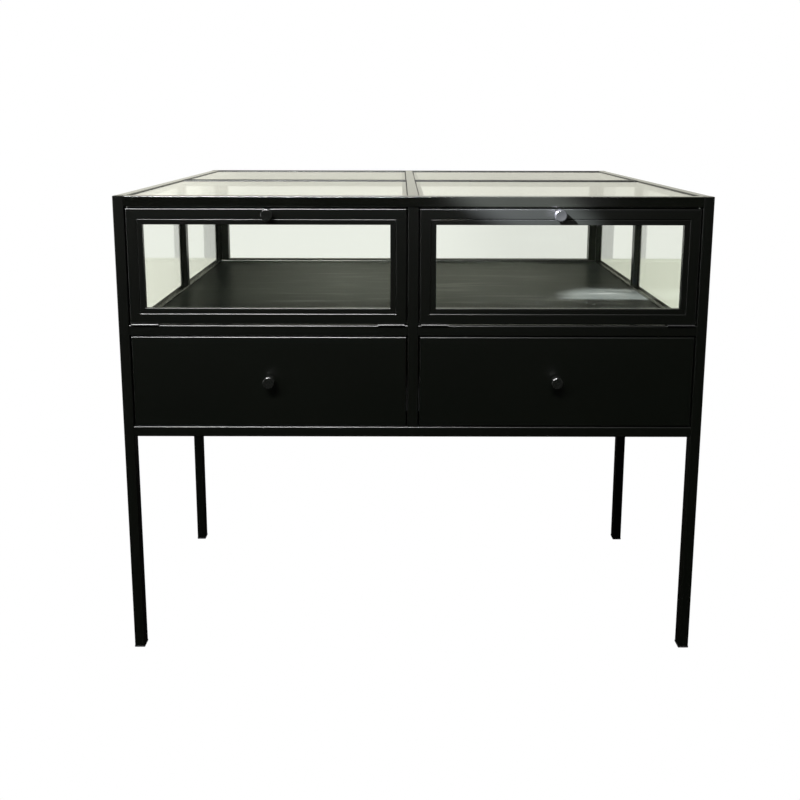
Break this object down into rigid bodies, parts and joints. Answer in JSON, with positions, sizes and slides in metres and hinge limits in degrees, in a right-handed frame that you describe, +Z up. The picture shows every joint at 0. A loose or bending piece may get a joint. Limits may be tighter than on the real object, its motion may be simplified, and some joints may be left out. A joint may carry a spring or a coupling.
{
  "type": "display table with drawers",
  "caption": "Black steel frame display table: glass-topped glazed display case with drop-front glazed doors above knobbed drawers, on slim square legs.",
  "frame": {"origin": "centre of the base of the whole table, knobs included, at floor level", "axes": "+X to the right when facing the doors, +Y from the door side to the rear, +Z up"},
  "size_m": [1.1, 0.802, 0.9],
  "materials": {
    "black_steel": "satin black powder coat",
    "black_panel": "satin black powder coat on sheet",
    "bead": "satin black",
    "clear_glass": "clear float glass",
    "zinc_steel": "zinc plated",
    "black_knob": "satin black",
    "black_plastic": "matte",
    "catch": "matte"
  },
  "bodies": {
    "cabinet": {"post_front_left": "black_steel", "post_front_right": "black_steel", "post_rear_left": "black_steel", "post_rear_right": "black_steel", "leg_rear_left": "black_steel", "leg_rear_right": "black_steel", "post_centre": "black_steel", "top_rail_front": "black_steel", "top_rail_rear": "black_steel", "top_rail_left": "black_steel", "top_rail_right": "black_steel", "top_centre_bar": "black_steel", "cross_bars": "black_steel", "middle_rails": "black_steel", "side_rail_left": "black_steel", "side_rail_right": "black_steel", "rear_rail": "black_steel", "side_mullions": "black_steel", "bottom_rail_front": "black_steel", "bottom_rails": "black_steel", "rear_panel_frame": "black_steel", "door_stops": "black_steel", "glass_ledges": "bead", "side_glass_beads": "bead", "display_floor": "black_panel", "bay_side_left": "black_panel", "bay_side_right": "black_panel", "bay_base_and_back": "black_panel", "bay_divider": "black_panel", "top_glass_front": "clear_glass", "top_glass_rear": "clear_glass", "side_glass_left": "clear_glass", "side_glass_right": "clear_glass", "rear_glass": "clear_glass", "hinge_frame_leaves": "zinc_steel", "runner_cabinet_members": "zinc_steel", "leg_glides": "black_plastic", "magnetic_catches": "catch"},
    "door_left": {"door_frame_left": "black_steel", "door_bead_left": "bead", "door_glass_left": "clear_glass", "door_knob_left": "black_knob", "hinge_door_leaves_left": "zinc_steel"},
    "drawer_left": {"drawer_front_left": "black_panel", "drawer_box_left": "black_panel", "drawer_knob_left": "black_knob", "runner_drawer_left": "zinc_steel"},
    "runner_middle_left": {"runner_middle_left": "zinc_steel"},
    "door_right": {"door_frame_right": "black_steel", "door_bead_right": "bead", "door_glass_right": "clear_glass", "door_knob_right": "black_knob", "hinge_door_leaves_right": "zinc_steel"},
    "drawer_right": {"drawer_front_right": "black_panel", "drawer_box_right": "black_panel", "drawer_knob_right": "black_knob", "runner_drawer_right": "zinc_steel"},
    "runner_middle_right": {"runner_middle_right": "zinc_steel"}
  },
  "joints": [
    {"name": "door_left_hinge", "type": "hinge", "parent": "cabinet", "child": "door_left", "pos_m": [-0.27, -0.3813, 0.65925], "axis": [1, 0, 0], "range_deg": [0, 90]},
    {"name": "drawer_left_slide", "type": "slide", "parent": "cabinet", "child": "drawer_left", "axis": [0, -1, 0], "range_m": [0, 0.34]},
    {"name": "runner_middle_left_slide", "type": "slide", "parent": "cabinet", "child": "runner_middle_left", "axis": [0, -1, 0], "range_m": [0, 0.17]},
    {"name": "door_right_hinge", "type": "hinge", "parent": "cabinet", "child": "door_right", "pos_m": [0.27, -0.3813, 0.65925], "axis": [1, 0, 0], "range_deg": [0, 90]},
    {"name": "drawer_right_slide", "type": "slide", "parent": "cabinet", "child": "drawer_right", "axis": [0, -1, 0], "range_m": [0, 0.34]},
    {"name": "runner_middle_right_slide", "type": "slide", "parent": "cabinet", "child": "runner_middle_right", "axis": [0, -1, 0], "range_m": [0, 0.17]}
  ],
  "couplings": [
    {"joint": "runner_middle_left_slide", "follows": "drawer_left_slide", "ratio": 0.5},
    {"joint": "runner_middle_right_slide", "follows": "drawer_right_slide", "ratio": 0.5}
  ]
}
